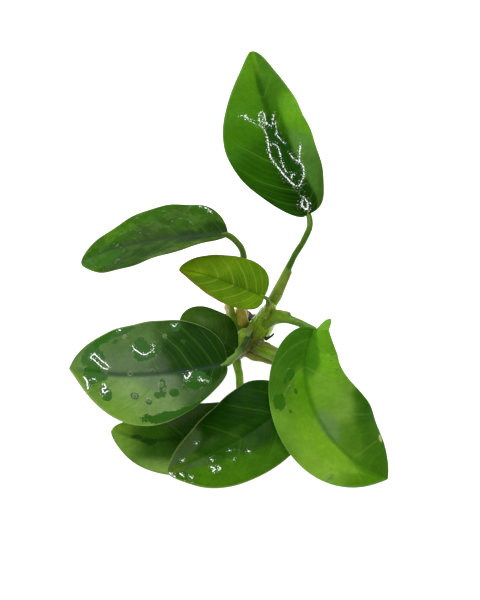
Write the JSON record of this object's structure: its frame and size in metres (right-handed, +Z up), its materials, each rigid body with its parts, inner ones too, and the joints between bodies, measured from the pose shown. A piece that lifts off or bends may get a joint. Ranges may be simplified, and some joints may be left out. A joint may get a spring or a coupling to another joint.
{
  "type": "anubias on stone",
  "caption": "Broad-leaved aquarium plant: stalked leaf blades spread from a creeping rhizome whose roots grip a small dark stone, which stands on its flat base.",
  "frame": {"origin": "middle of the stone's flat underside", "axes": "+Z up from the surface it stands on, +Y towards the far side where the long-stemmed top leaf points, +X to the right"},
  "size_m": [0.1254, 0.167, 0.0816],
  "materials": {
    "stone": "rough, finely pitted dark lava rock",
    "rhizome": "living plant tissue, ringed with old leaf scars, damp",
    "leaf": "living leathery leaf, satin with wet patches",
    "bright_leaf": "living leathery leaf, lighter green, satin",
    "young_leaf": "thin young leaf, yellow green with a brown edge",
    "stem": "smooth juicy stem, gloss",
    "root": "pale fleshy root, matt"
  },
  "bodies": {
    "root": {"stone": "stone", "rhizome": "rhizome", "leaf_top": "leaf", "leaf_upper_left": "leaf", "leaf_young": "young_leaf", "leaf_small": "leaf", "leaf_left": "leaf", "leaf_lower_left": "leaf", "leaf_bottom": "leaf", "leaf_right": "bright_leaf", "stem_top": "stem", "stem_upper_left": "stem", "stem_young": "stem", "stem_small": "stem", "stem_left": "stem", "stem_lower_left": "stem", "stem_bottom": "stem", "stem_right": "stem", "root_back": "root", "root_back_right": "root", "root_front": "root", "root_left": "root", "root_front_left": "root", "root_right": "root"}
  },
  "joints": []
}
